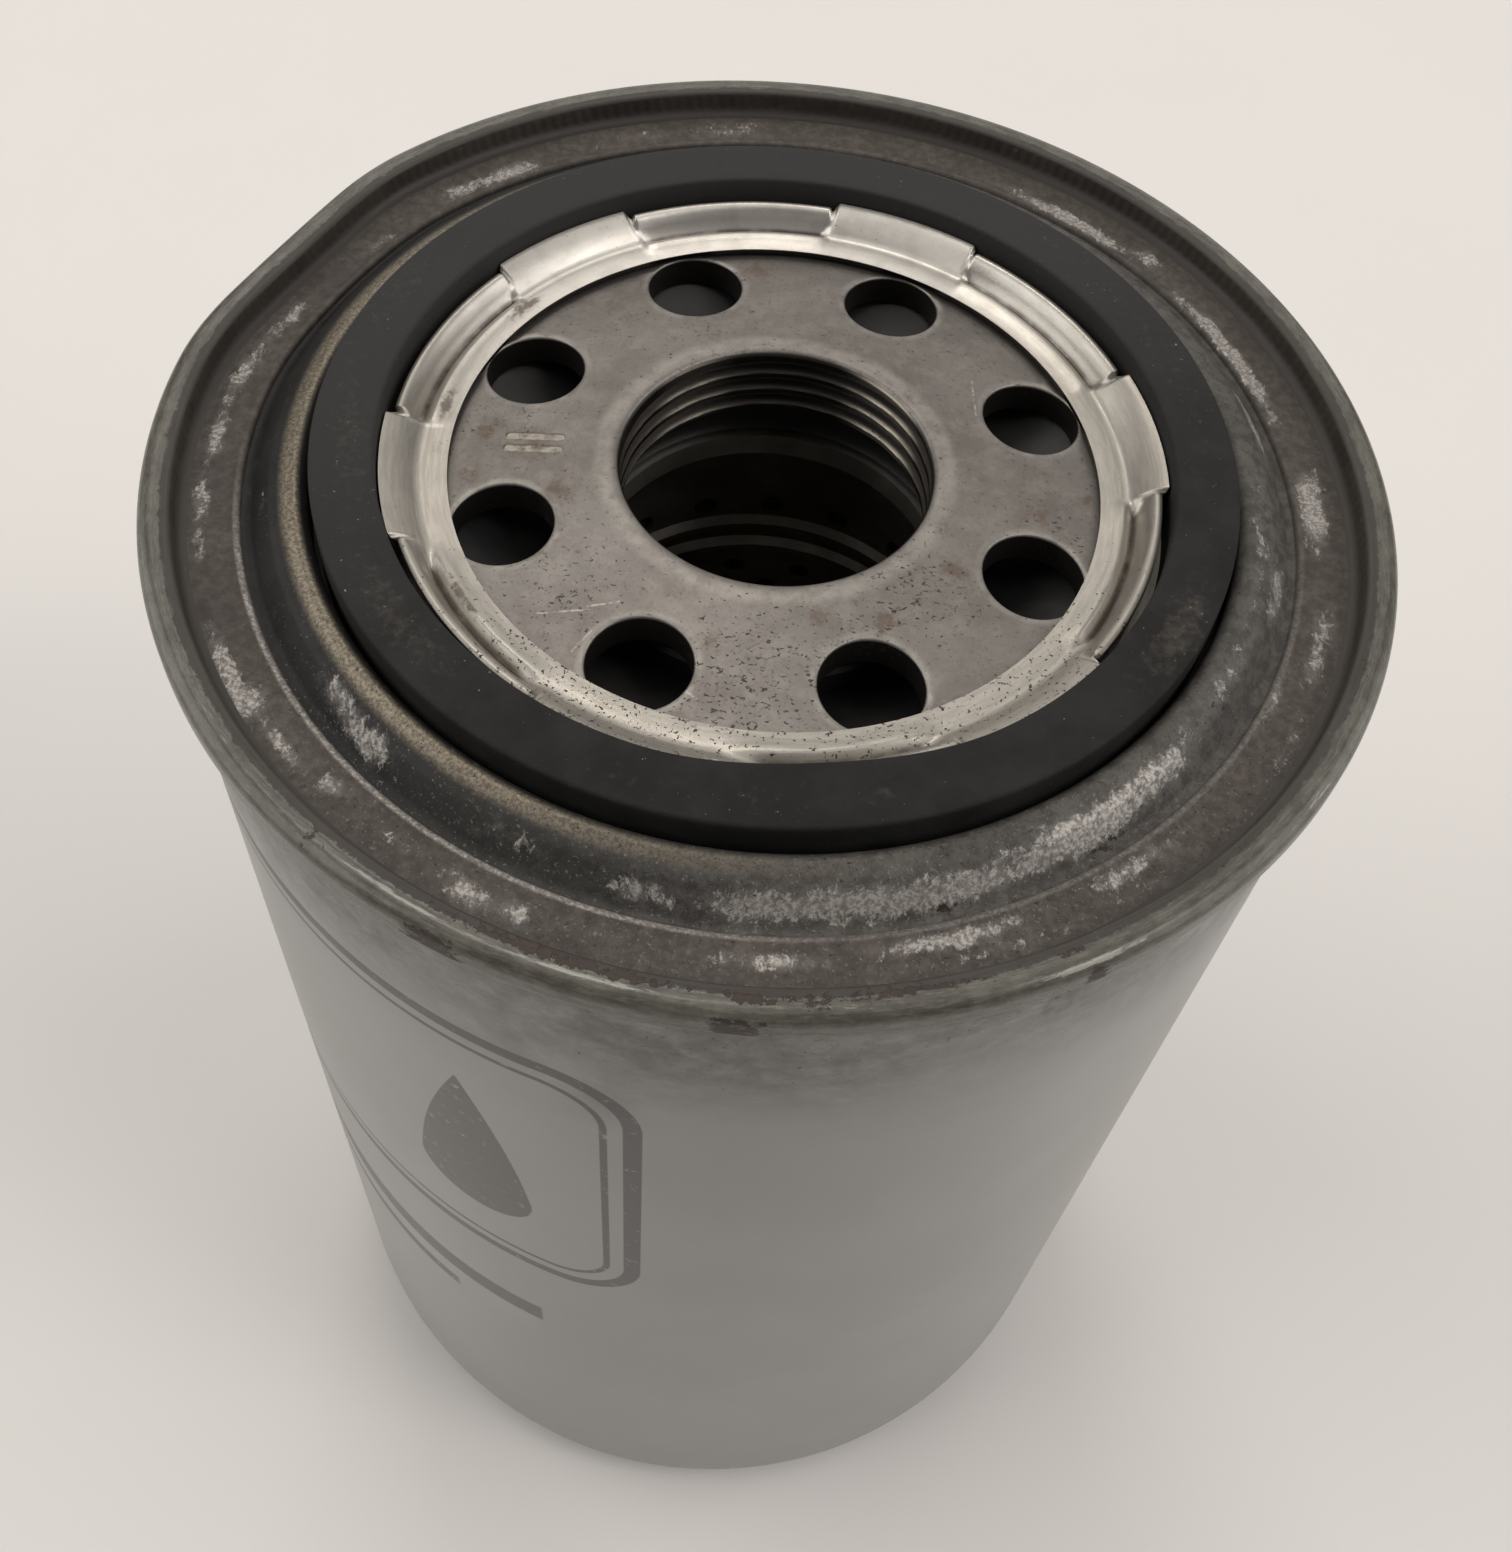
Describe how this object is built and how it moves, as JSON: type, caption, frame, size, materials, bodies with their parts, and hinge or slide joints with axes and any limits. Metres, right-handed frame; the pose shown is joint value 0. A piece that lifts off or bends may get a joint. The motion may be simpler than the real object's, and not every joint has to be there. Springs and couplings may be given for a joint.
{
  "type": "spin-on oil filter",
  "caption": "Spin-on oil filter: seamed steel can, threaded base plate with a ring of inlet holes, face gasket and a sprung pleated element with a bypass valve.",
  "frame": {"origin": "centre of the can's resting face, on the filter's axis", "axes": "+Z along the axis towards the threaded end; +X and +Y square to it, the first inlet hole 22.5 degrees from +X"},
  "size_m": [0.11, 0.11, 0.1566],
  "materials": {
    "can_paint": "pale warm-grey semi-gloss paint over drawn steel",
    "sealant": "matte sealing compound",
    "lid_steel": "worn dark lacquer over steel, bright where it is rubbed",
    "plate_steel": "satin steel with small rust pits",
    "gasket_rubber": "matte black moulded rubber",
    "valve_rubber": "matte black rubber",
    "cap_steel": "tinned sheet steel",
    "potting": "matte plastisol adhesive",
    "filter_paper": "resin-treated filter paper",
    "tube_steel": "oiled perforated steel",
    "fibre": "pressed fibre washer",
    "spring_steel": "drawn spring wire"
  },
  "bodies": {
    "housing": {"can": "can_paint", "seam_sealant": "sealant", "seaming_lid": "lid_steel", "base_plate": "plate_steel", "gasket": "gasket_rubber", "anti_drainback_valve": "valve_rubber", "support_spring": "spring_steel"},
    "element": {"upper_end_cap": "cap_steel", "upper_potting": "potting", "pleated_media": "filter_paper", "pleat_seam_clip": "cap_steel", "centre_tube": "tube_steel", "lower_potting": "potting", "lower_end_cap": "cap_steel", "bypass_gasket": "fibre", "bypass_seat": "cap_steel", "bypass_cage": "cap_steel", "bypass_spring": "spring_steel", "spring_seat": "cap_steel"},
    "poppet": {"bypass_poppet": "cap_steel", "bypass_seal": "valve_rubber"}
  },
  "joints": [
    {"name": "element_float", "type": "slide", "parent": "housing", "child": "element", "axis": [0, 0, 1], "range_m": [-0.004, 0], "stiffness_N_per_m": 1500, "springref_m": 0.012, "deforming": ["support_spring"]},
    {"name": "bypass_lift", "type": "slide", "parent": "element", "child": "poppet", "axis": [0, 0, 1], "range_m": [0, 0.005], "stiffness_N_per_m": 2500, "springref_m": -0.01, "deforming": ["bypass_spring"]}
  ]
}
